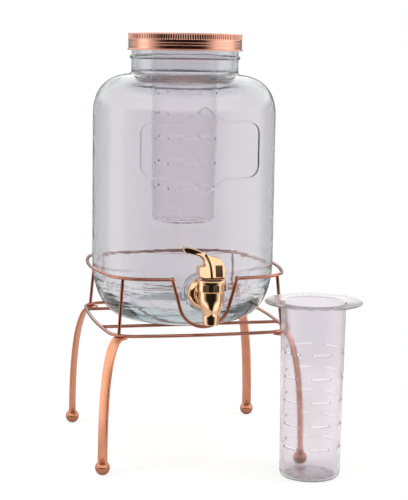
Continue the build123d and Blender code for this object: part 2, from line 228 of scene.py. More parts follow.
# Shader groups
def newGroup(name, numbers, outputs):
    group = bpy.data.node_groups.new(name, "ShaderNodeTree")
    for label, value in numbers.items():
        socket = group.interface.new_socket(label, in_out="INPUT", socket_type="NodeSocketFloat")
        socket.default_value = value
    for label, kind in outputs.items():
        group.interface.new_socket(label, in_out="OUTPUT", socket_type=kind)
    return group, group.nodes.new("NodeGroupInput"), group.nodes.new("NodeGroupOutput")


def addNoise(tree, place, scale, detail=2.0):
    noise = tree.nodes.new("ShaderNodeTexNoise")
    noise.inputs["Detail"].default_value = detail
    if isinstance(scale, float):
        noise.inputs["Scale"].default_value = scale
    else:
        tree.links.new(scale, noise.inputs["Scale"])
    tree.links.new(place, noise.inputs["Vector"])
    return noise.outputs["Fac"]


def addMath(tree, operation, a, b, c=None):
    step = tree.nodes.new("ShaderNodeMath")
    step.operation = operation
    for socket, value in zip(step.inputs, (a, b, c)):
        if isinstance(value, (int, float)):
            socket.default_value = value
        elif value is not None:
            tree.links.new(value, socket)
    return step.outputs[0]


driftShare = 0.55  # of the roughness; the grain gives the rest


# Worn metal: fine grain, slow drift of tone, and roughness that follows both
def makeMetalGroup():
    group, inward, outward = newGroup(
        "metalSurface",
        {"Grain": 900.0, "Drift": 18.0, "Smooth": 0.1, "Rough": 0.2},
        {"Roughness": "NodeSocketFloat", "Height": "NodeSocketFloat", "Tone": "NodeSocketFloat"},
    )
    place = group.nodes.new("ShaderNodeTexCoord").outputs["Object"]
    grain = addNoise(group, place, inward.outputs["Grain"], 3.0)
    drift = addNoise(group, place, inward.outputs["Drift"], 3.0)
    both = addMath(group, "MULTIPLY", grain, 1 - driftShare)
    both = addMath(group, "MULTIPLY_ADD", drift, driftShare, both)
    span = addMath(group, "SUBTRACT", inward.outputs["Rough"], inward.outputs["Smooth"])
    roughness = addMath(group, "MULTIPLY_ADD", both, span, inward.outputs["Smooth"])
    group.links.new(roughness, outward.inputs["Roughness"])
    group.links.new(grain, outward.inputs["Height"])
    group.links.new(drift, outward.inputs["Tone"])
    return group


streaks = {"stretch": (0.12, 0.12, 1), "scale": 110.0, "fadeIn": 25.0, "strength": 2.2}


# Blown or moulded clear wall: slow waves, flat streaks below a height, and a faint dulling
def makeClearGroup():
    group, inward, outward = newGroup(
        "clearSurface",
        {"Wave": 16.0, "Ripple": 60.0, "Streak": 0.0, "Smooth": 0.0, "Rough": 0.03},
        {"Roughness": "NodeSocketFloat", "Height": "NodeSocketFloat", "Tone": "NodeSocketFloat"},
    )
    place = group.nodes.new("ShaderNodeTexCoord").outputs["Object"]
    wave = addNoise(group, place, inward.outputs["Wave"], 1.0)
    ripple = addNoise(group, place, inward.outputs["Ripple"], 1.0)
    height = addMath(group, "MULTIPLY_ADD", wave, 0.8, addMath(group, "MULTIPLY", ripple, 0.2))
    flat = group.nodes.new("ShaderNodeMapping")
    flat.inputs["Scale"].default_value = streaks["stretch"]
    group.links.new(place, flat.inputs["Vector"])
    streak = addNoise(group, flat.outputs["Vector"], streaks["scale"])
    upward = group.nodes.new("ShaderNodeSeparateXYZ")
    group.links.new(place, upward.inputs[0])
    fade = addMath(group, "SUBTRACT", inward.outputs["Streak"], upward.outputs["Z"])
    fade = addMath(group, "MULTIPLY", fade, streaks["fadeIn"])
    fade = addMath(group, "MINIMUM", addMath(group, "MAXIMUM", fade, 0.0), 1.0)
    strength = addMath(group, "MULTIPLY", fade, streaks["strength"])
    height = addMath(group, "MULTIPLY_ADD", streak, strength, height)
    span = addMath(group, "SUBTRACT", inward.outputs["Rough"], inward.outputs["Smooth"])
    roughness = addMath(group, "MULTIPLY_ADD", ripple, span, inward.outputs["Smooth"])
    group.links.new(roughness, outward.inputs["Roughness"])
    group.links.new(height, outward.inputs["Height"])
    group.links.new(wave, outward.inputs["Tone"])
    return group


def makeMaterial(name, group, numbers, light, dark, bump, settings):
    material = bpy.data.materials.new(name)
    material.use_nodes = True
    tree = material.node_tree
    shader = tree.nodes["Principled BSDF"]
    use = tree.nodes.new("ShaderNodeGroup")
    use.node_tree = group
    for label, value in numbers.items():
        use.inputs[label].default_value = value
    blend = tree.nodes.new("ShaderNodeMix")
    blend.data_type = "RGBA"
    blend.inputs["A"].default_value = (*dark, 1)
    blend.inputs["B"].default_value = (*light, 1)
    tree.links.new(use.outputs["Tone"], blend.inputs["Factor"])
    tree.links.new(blend.outputs["Result"], shader.inputs["Base Color"])
    tree.links.new(use.outputs["Roughness"], shader.inputs["Roughness"])
    relief = tree.nodes.new("ShaderNodeBump")
    relief.inputs["Distance"].default_value = bump
    tree.links.new(use.outputs["Height"], relief.inputs["Height"])
    tree.links.new(relief.outputs["Normal"], shader.inputs["Normal"])
    for label, value in settings.items():
        shader.inputs[label].default_value = value
    return material


# Colour that deepens with the thickness looked through
def addDepthColour(material, colour, density):
    tree = material.node_tree
    depth = tree.nodes.new("ShaderNodeVolumeAbsorption")
    depth.inputs["Color"].default_value = (*colour, 1)
    depth.inputs["Density"].default_value = density
    tree.links.new(depth.outputs[0], tree.nodes["Material Output"].inputs["Volume"])


metalGroup = makeMetalGroup()
clearGroup = makeClearGroup()
metal = {"Metallic": 1.0}
clear = {"Transmission Weight": 1.0}

# One material for each slot: the group's numbers, light tone, dark tone, bump height in metres, shader values
materials = {
    "copper_wire": makeMaterial(
        "copperWire", metalGroup, {"Grain": 1400.0, "Drift": 30.0, "Smooth": 0.05, "Rough": 0.14},
        (0.68, 0.31, 0.225), (0.25, 0.085, 0.055), 0.00002, metal),
    "copper_satin": makeMaterial(
        "copperSatin", metalGroup, {"Grain": 1800.0, "Drift": 22.0, "Smooth": 0.2, "Rough": 0.34},
        (0.87, 0.41, 0.265), (0.64, 0.25, 0.14), 0.00004, metal),
    "copper_polished": makeMaterial(
        "copperPolished", metalGroup, {"Grain": 700.0, "Drift": 60.0, "Smooth": 0.03, "Rough": 0.1},
        (0.66, 0.3, 0.19), (0.48, 0.18, 0.1), 0.00001, metal),
    "lid_copper": makeMaterial(
        "lidCopper", metalGroup, {"Grain": 2200.0, "Drift": 14.0, "Smooth": 0.05, "Rough": 0.11},
        (0.82, 0.46, 0.35), (0.68, 0.31, 0.21), 0.00003, metal),
    "tap_metal": makeMaterial(
        "tapMetal", metalGroup, {"Grain": 500.0, "Drift": 40.0, "Smooth": 0.03, "Rough": 0.1},
        (0.9, 0.61, 0.38), (0.8, 0.46, 0.26), 0.00001, metal),
    "steel": makeMaterial(
        "steel", metalGroup, {"Grain": 1200.0, "Drift": 40.0, "Smooth": 0.2, "Rough": 0.36},
        (0.66, 0.66, 0.67), (0.52, 0.52, 0.54), 0.00002, metal),
    "spring_steel": makeMaterial(
        "springSteel", metalGroup, {"Grain": 1600.0, "Drift": 60.0, "Smooth": 0.18, "Rough": 0.3},
        (0.58, 0.58, 0.6), (0.46, 0.46, 0.48), 0.00001, metal),
    "stem_brass": makeMaterial(
        "stemBrass", metalGroup, {"Grain": 1600.0, "Drift": 60.0, "Smooth": 0.16, "Rough": 0.3},
        (0.8, 0.62, 0.34), (0.7, 0.5, 0.26), 0.00001, metal),
    "silicone": makeMaterial(
        "silicone", metalGroup, {"Grain": 700.0, "Drift": 50.0, "Smooth": 0.45, "Rough": 0.6},
        (0.86, 0.86, 0.84), (0.78, 0.78, 0.76), 0.00003, {}),
    "nylon": makeMaterial(
        "nylon", metalGroup, {"Grain": 900.0, "Drift": 60.0, "Smooth": 0.4, "Rough": 0.55},
        (0.06, 0.055, 0.05), (0.035, 0.03, 0.03), 0.00003, {}),
    "glass": makeMaterial(
        "glass", clearGroup, {"Wave": 14.0, "Ripple": 70.0, "Streak": 0.245, "Smooth": 0.0, "Rough": 0.02},
        (0.945, 0.895, 0.925), (0.92, 0.875, 0.905), 0.0006,
        {**clear, "IOR": 1.5, "Coat Weight": 0.5, "Coat IOR": 1.8, "Coat Roughness": 0.03}),
    "clear_plastic": makeMaterial(
        "clearPlastic", clearGroup, {"Wave": 24.0, "Ripple": 110.0, "Smooth": 0.0, "Rough": 0.04},
        (0.972, 0.958, 0.97), (0.96, 0.944, 0.958), 0.0002, {**clear, "IOR": 1.42}),
    "lilac_plastic": makeMaterial(
        "lilacPlastic", clearGroup, {"Wave": 24.0, "Ripple": 110.0, "Smooth": 0.03, "Rough": 0.18},
        (0.895, 0.865, 0.895), (0.865, 0.835, 0.875), 0.0002, {**clear, "IOR": 1.49}),
}
addDepthColour(materials["glass"], (0.3, 0.52, 0.54), 30.0)

# The frame's own nodes take the same materials
slotOf = {part["node"]: part["material_slot"] for part in frame["record"]["subparts"]}
for name, node in nodes.items():
    node.data.materials.clear()
    node.data.materials.append(materials[slotOf[name]])
print("materials ready,", len(materials))

# Glass jar: its width and height come from the frame; the tap's hole has a thick pad outside and a flat spot inside
jarLow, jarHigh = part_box("glass_jar")
jar = {
    "radius": jarHigh.x, "low": jarLow.z, "rim": jarHigh.z,
    "wall": 0.005, "floor": 0.01, "base": 0.06, "pushUp": 0.004, "heel": 0.07,
    "neck": 0.0624, "mouth": 0.0553, "neckHeight": 0.038, "shoulderHeight": 0.05,
    "beads": ((0.0225, 0.0024), (0.008, 0.0022)), "steps": 192,
    "padRadius": 0.0215, "padRaise": 0.0008, "padDepth": 0.0125, "padThick": 0.0065,
    "padEdge": 0.0007, "spotRadius": 0.0165, "holeRadius": 0.00825, "boreReach": 0.03,
}
panel = {
    "half": 0.0683, "corner": 0.014, "line": 0.0012, "drop": 0.0045, "height": 0.0635,
    "peakHalf": 0.026, "peakRise": 0.0165,
}
tapHeight = sum(corner.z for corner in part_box("outer_gasket")) / 2


# Closed outline of the wall: up the outside from the push-up, over beads and rim, and down the inside
def jarOutline():
    low, rim, radius = jar["low"], jar["rim"], jar["radius"]
    inner = radius - jar["wall"]
    floor = low + jar["floor"]
    heel = low + jar["heel"]
    neck, mouth = jar["neck"], jar["mouth"]
    neckZ = rim - jar["neckHeight"]
    shoulder = neckZ - jar["shoulderHeight"]
    base = jar["base"]
    baseMid = base + 0.575 * (radius - base)
    neckIn = neck + 0.0035
    shoulderMid = radius - 0.41 * (radius - neckIn)
    points = [(0, low + jar["pushUp"])]
    push = (base * 0.4, low + jar["pushUp"])
    points += bezier(points[0], push, (base * 0.75, low + 0.002), (base - 0.006, low), 8)
    points += arc((base, low + 0.0006), 0.0006, -100, -90, 1)
    points += bezier((base, low), (baseMid, low), (radius, low + 0.314 * jar["heel"]), (radius, heel), 26)
    points += [(radius, heel + (shoulder - heel) * i / 10) for i in range(1, 11)]
    rise = jar["shoulderHeight"]
    neckFoot = (neckIn, neckZ - 0.004)
    points += bezier(
        (radius, shoulder), (radius, shoulder + 0.58 * rise), (shoulderMid, neckZ - 0.006), neckFoot, 22)
    points += bezier(neckFoot, (neck + 0.0012, neckZ - 0.0038), (neck, neckZ - 0.002), (neck, neckZ), 5)
    for drop, size in jar["beads"]:
        points += arc((neck - 0.0003, rim - drop), size, -82, 82, 8)
    points += arc((neck - 0.0015, rim - 0.0015), 0.0015, 0, 90, 4)
    points += arc((mouth + 0.001, rim - 0.001), 0.001, 90, 180, 3)
    points += [(mouth, neckZ + 0.015), (mouth, neckZ - 0.0085)]
    innerShoulder = (inner, shoulder - 0.001)
    points += bezier(
        points[-1], (shoulderMid - 0.0045, neckZ - 0.0105), (inner, shoulder + 0.55 * rise), innerShoulder, 22)
    points += [between(innerShoulder, (inner, heel), i / 10) for i in range(1, 11)]
    points += bezier(
        (inner, heel), (inner, low + 0.4 * jar["heel"]), (baseMid - 0.005, floor), (base - 0.008, floor), 26)
    points += [(base * 0.45, floor), (0, floor)]
    return points


# Disc or cylinder along Y with a rounded front edge, for the pad and the bores
def crossRound(name, y0, y1, radius, edge=0.0):
    outline = [(0, y0), (radius - edge, y0)]
    if edge:
        outline += arc((radius - edge, y0 + edge), edge, -90, 0, 4)[1:]
    outline += [(radius, y1), (0, y1)]
    return turnedAcross(name, outline, 64)


# Turned piece on the tap's cross axis, from an outline of (radius, y)
def turnedAcross(name, outline, steps):
    piece = drawLine(name, [(r, y, tapHeight) for r, y in outline])
    bpy.ops.mesh.select_all(action="SELECT")
    bpy.ops.mesh.spin(steps=steps, angle=2 * math.pi, center=(0, 0, tapHeight), axis=(0, 1, 0))
    cleanMesh()
    return piece


# Point on the front of the jar's wall
def onJar(x, z):
    return (x, -math.sqrt(jar["radius"] ** 2 - x * x), z)


# Raised line round the panel on the jar's front, with a low peak in the middle of its top and bottom edge
def panelRidge():
    high = jar["rim"] - jar["neckHeight"] - jar["shoulderHeight"] - panel["drop"]
    low = high - panel["height"]
    half, corner = panel["half"], panel["corner"]
    line = []
    for side, z, way, start in ((1, high, 1, 90), (1, low, -1, 0), (-1, low, -1, -90), (-1, high, 1, 180)):
        centre = (side * (half - corner), z - way * corner)
        turns = arc(centre, corner, start, start - 90, 6)
        peak = (0, z + way * panel["peakRise"])
        foot = (side * panel["peakHalf"], z)
        if side * way > 0:
            run = [peak] + [between(peak, foot, i / 6) for i in range(1, 7)]
            run += [between(foot, turns[0], i / 6) for i in range(1, 6)]
            line += run + turns
        else:
            run = [between(turns[-1], foot, i / 6) for i in range(1, 7)]
            run += [between(foot, peak, i / 6) for i in range(1, 6)]
            line += turns + run
    points = []
    for x, z in line:
        if not points or math.hypot(points[-1][0] - x, points[-1][1] - z) > 1e-5:
            points.append((x, z))
    return piped("panelRidge", [onJar(x, z) for x, z in points], panel["line"], closed=True)


def makeJar():
    piece = turned("glassJar", jarOutline(), jar["steps"])
    front = -(jar["radius"] + jar["padRaise"])
    pad = crossRound("pad", front, front + jar["padDepth"], jar["padRadius"], jar["padEdge"])
    combine(piece, pad, "UNION")
    inside = front + jar["padThick"]
    combine(piece, crossRound("spot", inside, inside + jar["boreReach"], jar["spotRadius"]), "DIFFERENCE")
    combine(piece, crossRound("hole", front - 0.01, front + jar["boreReach"], jar["holeRadius"]), "DIFFERENCE")
    combine(piece, panelRidge(), "UNION")
    return placed(piece, "glass", "jar", ["glass_jar"])


# Screw band: knurled upper part, plain band, two beads and a rolled rim
bandLow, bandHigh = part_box("screw_band")
band = {
    "radius": 0.0662, "wall": 0.001, "lip": 0.052, "low": bandLow.z, "high": bandHigh.z,
    "knurl": 0.0072, "ridges": 148, "ridgeDepth": 0.00042, "raise": 0.0003, "topRound": 0.0014,
    "beadDrops": (0.0038, 0.0067), "bead": 0.00045, "rim": 0.0008,
}


def makeBand():
    radius, low, high = band["radius"], band["low"], band["high"]
    inner = radius - band["wall"]
    knurlLow = high - band["knurl"]
    ridge, topRound = radius + band["raise"], band["topRound"]
    rim = (ridge, low + band["rim"])
    outline = [(inner, low + 2 * band["rim"] + 0.0004)]
    outline += arc(rim, band["rim"], 150, 430, 17)
    outline.append((radius, low + 2 * band["rim"] + 0.0002))
    for fall in reversed(band["beadDrops"]):
        outline += arc((radius - 0.0001, knurlLow - fall), band["bead"], -80, 80, 10)
    outline += [(radius, knurlLow - 0.0004), (ridge, knurlLow)]
    outline += [(ridge, knurlLow + step) for step in (0.0006, 0.001)]
    outline += [(ridge, high - step) for step in (0.0022, 0.0017)]
    outline += arc((ridge - topRound, high - topRound), topRound, 12, 90, 6)
    outline += [(band["lip"] + 0.001, high), (band["lip"], high - 0.0004), (band["lip"], high - band["wall"])]
    outline += [(inner - 0.001, high - band["wall"]), (inner, high - band["wall"] - 0.001), outline[0]]
    steps = 4 * band["ridges"]
    piece = turned("screwBand", outline, steps)

    # Knurl: every fourth column of the upper part is drawn inwards
    activate(piece)
    bpy.ops.object.mode_set(mode="EDIT")
    bpy.ops.mesh.select_mode(type="VERT")
    bpy.ops.mesh.select_all(action="DESELECT")
    bpy.ops.object.mode_set(mode="OBJECT")
    for vertex in piece.data.vertices:
        x, y, z = vertex.co
        column = round(math.atan2(y, x) / (2 * math.pi) * steps)
        outside = math.hypot(x, y) > radius + 0.0001
        vertex.select = outside and column % 4 == 2 and knurlLow + 0.0003 < z < high - 0.0005
    bpy.ops.object.mode_set(mode="EDIT")
    shrink = 1 - band["ridgeDepth"] / radius
    bpy.ops.transform.resize(value=(shrink, shrink, 1), center_override=(0, 0, 0))
    bpy.ops.object.mode_set(mode="OBJECT")
    return placed(piece, "lid_copper", "band", ["screw_band"], smooth=18)


# Infusers: flanged tubes with rows of slits, a lipped rim and a ribbed, rounded bottom
infusers = {
    "large_infuser": {"top": 0.0395, "low": 0.0372, "firstSlit": 0.06, "pitch": 0.0288, "slot": "clear_plastic"},
    "small_infuser": {"top": 0.0358, "low": 0.0337, "firstSlit": 0.0547, "pitch": 0.0265, "slot": "lilac_plastic"},
}
tube = {
    "wall": 0.002, "flange": 0.002, "corner": 0.007, "steps": 120, "pushUp": 0.0022,
    "rows": 5, "around": 6, "slitWidth": 0.022, "slitHeight": 0.0026, "slitTurn": 1.0, "slitRound": 0.00055,
    "ribs": 10, "ribWidth": 0.0018, "ribFrom": 0.015, "ribTo": 0.0275, "ribLow": 0.0018, "ribHigh": 0.0034,
}


# Closed outline of the wall: up the outside, round the flange, down the inside
def infuserOutline(top, low, rim, height):
    wall, corner = tube["wall"], tube["corner"]
    under = height - tube["flange"]
    inner = low - wall
    points = [(0, tube["pushUp"]), (low * 0.3, tube["pushUp"])]
    points += bezier(points[-1], (low * 0.5, tube["pushUp"]), (low * 0.6, 0), (low - corner - 0.002, 0), 8)
    points += bezier((low - corner, 0), (low - 0.002, 0), (low, 0.002), (low, corner), 10)
    wallTop = (top, under - 0.0015)
    points += [between((low, corner), wallTop, i / 12) for i in range(1, 13)]
    points += bezier(wallTop, (top, under - 0.0004), (top + 0.0004, under), (top + 0.0015, under), 4)
    points += [(rim - 0.0011, under)]
    points += arc((rim - 0.001, under + 0.001), 0.001, -80, 80, 8)
    face = height - 0.0003
    points += [(rim - 0.0016, face), (top + 0.002, face)]
    innerTop, innerLow = (top - wall, height - 0.0035), (inner, corner + 0.001)
    points += bezier(points[-1], (top - 0.0008, face), (top - wall, height - 0.0012), innerTop, 5)
    points += [between(innerTop, innerLow, i / 12) for i in range(1, 13)]
    points += bezier(innerLow, (inner, 0.0035), (inner - 0.0015, wall), (inner - 0.006, wall), 8)
    floor = wall + tube["pushUp"]
    points += bezier(points[-1], (low * 0.6, wall), (low * 0.5, floor), (low * 0.3, floor), 6)
    points += [(0, floor)]
    return points


# Block turned about the upright axis, counted from the front
def addBar(name, size, place, turn):
    clearSelection()
    bpy.ops.mesh.primitive_cube_add(size=1)
    bar = bpy.context.object
    bar.name = name
    bpy.ops.object.mode_set(mode="EDIT")
    bpy.ops.mesh.select_all(action="SELECT")
    bpy.ops.transform.resize(value=size, center_override=(0, 0, 0))
    bpy.ops.transform.rotate(value=-turn, orient_axis="Z", center_override=(0, 0, 0))
    bpy.ops.transform.translate(value=place)
    bpy.ops.object.mode_set(mode="OBJECT")
    return bar


def makeInfuser(name, body):
    own = infusers[name]
    low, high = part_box(name)
    x, y = (low.x + high.x) / 2, (low.y + high.y) / 2
    height, rim = high.z - low.z, (high.x - low.x) / 2
    outline = infuserOutline(own["top"], own["low"], rim, height)
    piece = turned(name + "_moulded", outline, tube["steps"], (x, y, low.z))
    ribs = []
    middle = (tube["ribFrom"] + tube["ribTo"]) / 2
    ribZ = low.z + (tube["ribLow"] + tube["ribHigh"]) / 2
    ribSize = (tube["ribWidth"], tube["ribTo"] - tube["ribFrom"], tube["ribHigh"] - tube["ribLow"])
    for i in range(tube["ribs"]):
        turn = 2 * math.pi * (i + 0.5) / tube["ribs"]
        place = (x + middle * math.sin(turn), y - middle * math.cos(turn), ribZ)
        ribs.append(addBar("rib", ribSize, place, turn))
    combine(piece, joined(ribs), "UNION")
    slits = []
    slitSize = (tube["slitWidth"], 4 * own["top"], tube["slitHeight"])  # each cuts two slits, one at each side
    for row in range(tube["rows"]):
        z = high.z - own["firstSlit"] - row * own["pitch"]
        for i in range(tube["around"] // 2):
            turn = math.radians(tube["slitTurn"] + i * 360 / tube["around"])
            slits.append(addBar("slit", slitSize, (x, y, z), turn))
    cutter = rounded(joined(slits), tube["slitRound"], 2)
    combine(piece, cutter, "DIFFERENCE")
    return placed(piece, own["slot"], body, [name], smooth=40)


# Stand: the wires are the frame's own; strip legs run from under the lower ring's corners to ball feet
stand = {"wire": 0.0019, "cornerIn": 0.0125}
leg = {
    "width": 0.013, "thick": 0.0032, "tail": 0.008, "round": 0.0009,
    "footRadius": 0.00835, "footSink": 0.00025, "neck": 0.0046,
}


# Leg's bend as (outwards, up) from the ring's corner, with a straight tail under the ring
def legPath(reach, drop):
    tail = [(-leg["tail"] * (1 - i / 3), 0) for i in range(3)]
    return tail + [(0, 0)] + bezier((0, 0), (0.4 * reach, -0.015 * drop), (reach, -0.19 * drop), (reach, -drop), 26)


# Strip leg: its side view is drawn, filled and drawn out across its width
def makeLeg(end, hand):
    node = "leg_" + end + "_" + hand
    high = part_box(node)[1]
    footLow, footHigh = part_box("foot_" + end + "_" + hand)
    foot = (footLow + footHigh) / 2
    corner = standCorner(Vector((1 if hand == "right" else -1, 1 if end == "back" else -1)))
    out = Vector((foot.x - corner[0], foot.y - corner[1], 0))
    reach = out.length
    out.normalize()
    across = Vector((0, 0, 1)).cross(out)
    top = high.z - leg["thick"] / 2
    side = ribbon(legPath(reach, top - footLow.z - 1.45 * leg["footRadius"]), leg["thick"] / 2)
    start = Vector((corner[0], corner[1], top)) - across * leg["width"] / 2
    outline = [start + out * s + Vector((0, 0, z)) for s, z in side]
    piece = slab(node + "_strip", outline, across * leg["width"])
    rounded(piece, leg["round"], 3, 50)
    return placed(piece, "copper_satin", "stand", [node], smooth=50)


def standCorner(way):
    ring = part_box("lower_ring")[1]
    inset = stand["wire"] + stand["cornerIn"]
    return (way.x * (ring.x - inset), way.y * (ring.y - inset))


def makeFoot(end, side):
    node = "foot_" + end + "_" + side
    low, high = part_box(node)
    x, y = (low.x + high.x) / 2, (low.y + high.y) / 2
    radius = leg["footRadius"]
    centre = radius - leg["footSink"]
    outline = [(0, 0)] + arc((0, centre), radius, -75, 60, 24)
    neck, neckTop = leg["neck"], high.z - low.z
    outline += bezier(
        outline[-1], (neck - 0.0006, centre + radius), (neck, neckTop - 0.0022), (neck, neckTop - 0.0006), 6)
    outline += [(neck - 0.0006, neckTop), (0, neckTop)]
    piece = turned(node + "_ball", outline, 48, (x, y, low.z))
    return placed(piece, "copper_polished", "stand", [node], smooth=50)


# Lid disc: flat, with a low raised ring; it stays just clear of the band
disc = {"gap": 0.0001, "step": 0.00065, "edge": 0.0003, "ring": 0.0455, "ringHalf": 0.0023, "steps": 160}


def makeLidDisc():
    low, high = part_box("lid_disc")
    radius, edge, top = high.x - disc["gap"], disc["edge"], high.z - disc["step"]
    ring, half = disc["ring"], disc["ringHalf"]
    outline = [(0, low.z), (radius - edge, low.z), (radius, low.z + edge), (radius - edge, top)]
    outline += [(ring + half, top), (ring + half - 0.0008, high.z - 0.0002), (ring + half - 0.0014, high.z)]
    outline += [(ring - half + 0.0014, high.z), (ring - half + 0.0008, high.z - 0.0002), (ring - half, top), (0, top)]
    return placed(turned("lidDisc", outline, disc["steps"]), "lid_copper", "lid", ["lid_disc"], smooth=50)


# Tap: cast body, notched bonnet nut, and the lever
nutLow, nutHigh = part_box("bonnet_nut")
tapY = (nutLow.y + nutHigh.y) / 2
tap = {
    "flange": 0.019, "dome": 0.013, "flangeDepth": 0.008, "flangeBack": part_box("outer_gasket")[0].y,
    "collar": 0.011, "neck": 0.008, "barrel": 0.014, "barrelTop": nutHigh.z - 0.0124, "taper": 0.0069,
    "spoutTop": 0.0269, "spoutTopRadius": 0.0095, "spoutRadius": 0.0088, "spout": 0.0379, "lip": 0.0008,
    "grain": 0.00042, "seat": 0.0199, "chamber": 0.0094, "outlet": 0.005, "shank": 0.0079, "shankBore": 0.0045,
    "shankEnd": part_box("shank_nut")[1].y + 0.003, "thread": 0.0013, "threadDepth": 0.0005, "edge": 0.0006,
}
nut = {
    "radius": 0.0158, "height": 0.0124, "skirt": 0.006, "bore": 0.00306, "edge": 0.0005,
    "notches": 8, "notchWidth": 0.0062, "notchHeight": 0.0077, "notchDepth": 0.0011, "turn": 6.5,
}
lever = {
    "heel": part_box("thrust_washer")[1].z, "reach": 0.0305, "rise": 0.0354, "grain": 0.00036,
    "hood": 0.0105, "hoodTop": 0.0038, "hoodBend": 0.72, "hoodRound": 0.0008, "foot": 0.002,
    "half": 0.0065, "bladeTop": 0.0024, "bladeRound": 22,
    "cutLow": 0.0063, "cutTop": 0.003, "groove": 0.0013,
    "tongue": 0.0045, "slot": 0.0023, "pinUp": 0.0085,
}


def makeTapBody():
    top, lip = tap["barrelTop"], tap["lip"]
    mouth = top - tap["spout"]
    outline = [(0, mouth), (tap["spoutRadius"] - lip, mouth)]
    outline += arc((tap["spoutRadius"] - lip, mouth + lip), lip, -80, 0, 3)
    outline += [(tap["spoutTopRadius"], top - tap["spoutTop"])]
    taper = (tap["barrel"], top - tap["taper"])
    outline += bezier(
        outline[-1], (tap["spoutTopRadius"] + 0.0018, top - tap["spoutTop"] + 0.0065),
        (tap["barrel"] - 0.0003, taper[1] - 0.009), taper, 18)
    outline += [(tap["barrel"], top - 0.0004), (tap["barrel"] - 0.0004, top), (0, top)]
    piece = turned("tapCasting", outline, 72, (0, tapY, 0))
    back, dome = tap["flangeBack"], tap["dome"]
    face = back - tap["flangeDepth"]
    flange, collar, edge = tap["flange"], tap["collar"], tap["edge"]
    across = [(0, back), (flange - edge, back), (flange, back - edge), (flange, back - 0.002)]
    across += bezier(across[-1], (flange, back - 0.006), (dome + 0.002, face), (dome, face), 12)
    across += [(collar + edge, face), (collar, face - edge), (collar, face - 0.0019)]
    across += [(collar - edge, face - 0.0025), (tap["neck"] + 0.001, face - 0.0025)]
    across += [(tap["neck"], face - 0.0035), (tap["neck"], tapY), (0, tapY)]
    combine(piece, turnedAcross("tapFlange", across, 72), "UNION")
    castSkin(piece, tap["grain"], 6)
    radius, end, y = tap["shank"], tap["shankEnd"], back + 0.001
    shank = [(0, back - 0.003), (radius, back - 0.003), (radius, y)]
    while y + tap["thread"] < end - 0.001:
        shank += [(radius - tap["threadDepth"], y + 0.45 * tap["thread"]), (radius, y + 0.9 * tap["thread"])]
        y += tap["thread"]
    shank += [(radius - 0.0007, end), (0, end)]
    combine(piece, turnedAcross("tapShank", shank, 48), "UNION")
    bores = [(0, mouth - 0.001), (tap["outlet"], mouth - 0.001), (tap["outlet"], top - tap["seat"])]
    bores += [(tap["chamber"], top - tap["seat"]), (tap["chamber"], top + 0.001), (0, top + 0.001)]
    combine(piece, turned("tapBores", bores, 48, (0, tapY, 0)), "DIFFERENCE")
    combine(piece, crossRound("shankBore", tapY, end + 0.001, tap["shankBore"]), "DIFFERENCE")
    return placed(piece, "tap_metal", "jar", ["tap_body"], smooth=50)


def makeBonnetNut():
    radius, height, base = nut["radius"], nut["height"], nutHigh.z - nut["height"]
    skirt, chamber = nut["skirt"], tap["chamber"]
    outline = [(nut["bore"], -skirt), (chamber - 0.0004, -skirt)]
    outline += [(chamber - 0.0001, -skirt + 0.0004), (chamber - 0.0001, 0), (radius - 0.0006, 0)]
    outline += arc((radius - 0.0006, 0.0006), 0.0006, -70, 0, 3)
    outline += [(radius, 0.001), (radius, height - 0.002)]
    outline += arc((radius - 0.0014, height - 0.0014), 0.0014, 0, 90, 5)
    outline += [(nut["bore"], height), outline[0]]
    piece = turned("notchedNut", outline, 96, (0, tapY, base))
    cutters = []
    size = (nut["notchWidth"], 2 * nut["notchDepth"], nut["notchHeight"] + 0.002)
    z = base + nut["notchHeight"] / 2 - 0.001
    for i in range(nut["notches"]):
        turn = math.radians(nut["turn"] + i * 360 / nut["notches"])
        place = (radius * math.sin(turn), tapY - radius * math.cos(turn), z)
        cutters.append(addBar("notch", size, place, turn))
    cutter = joined(cutters)
    core = radius - nut["notchDepth"]
    inner = [(0, -0.003), (core, -0.003), (core, height), (0, height)]
    combine(cutter, turned("notchFloor", inner, 96, (0, tapY, base)), "DIFFERENCE")
    combine(piece, cutter, "DIFFERENCE")
    rounded(piece, nut["edge"], 2, 55)
    return placed(piece, "tap_metal", "jar", ["bonnet_nut"], smooth=20)


# The lever's side view is given in shares of its reach and rise
def leverPoint(x, up):
    return (x * lever["reach"], lever["heel"] + up * lever["rise"])


def leverSlab(name, outline, half):
    return slab(name, [(x, tapY - half, z) for x, z in outline], (0, 2 * half, 0))


# Bar along the lever whose side faces lean inwards: half width low up to start, half width high from bend on
def leaningBar(name, low, high, start, bend):
    heel, reach = lever["heel"], 2 * lever["reach"]
    base, peak = heel - lever["foot"], heel + 1.1 * lever["rise"]
    side = [(-low, base), (-low, heel + start), (-high, heel + bend), (-high, peak)]
    side += [(high, peak), (high, heel + bend), (low, heel + start), (low, base)]
    return slab(name, [(-reach, tapY + y, z) for y, z in side], (2 * reach, 0, 0))


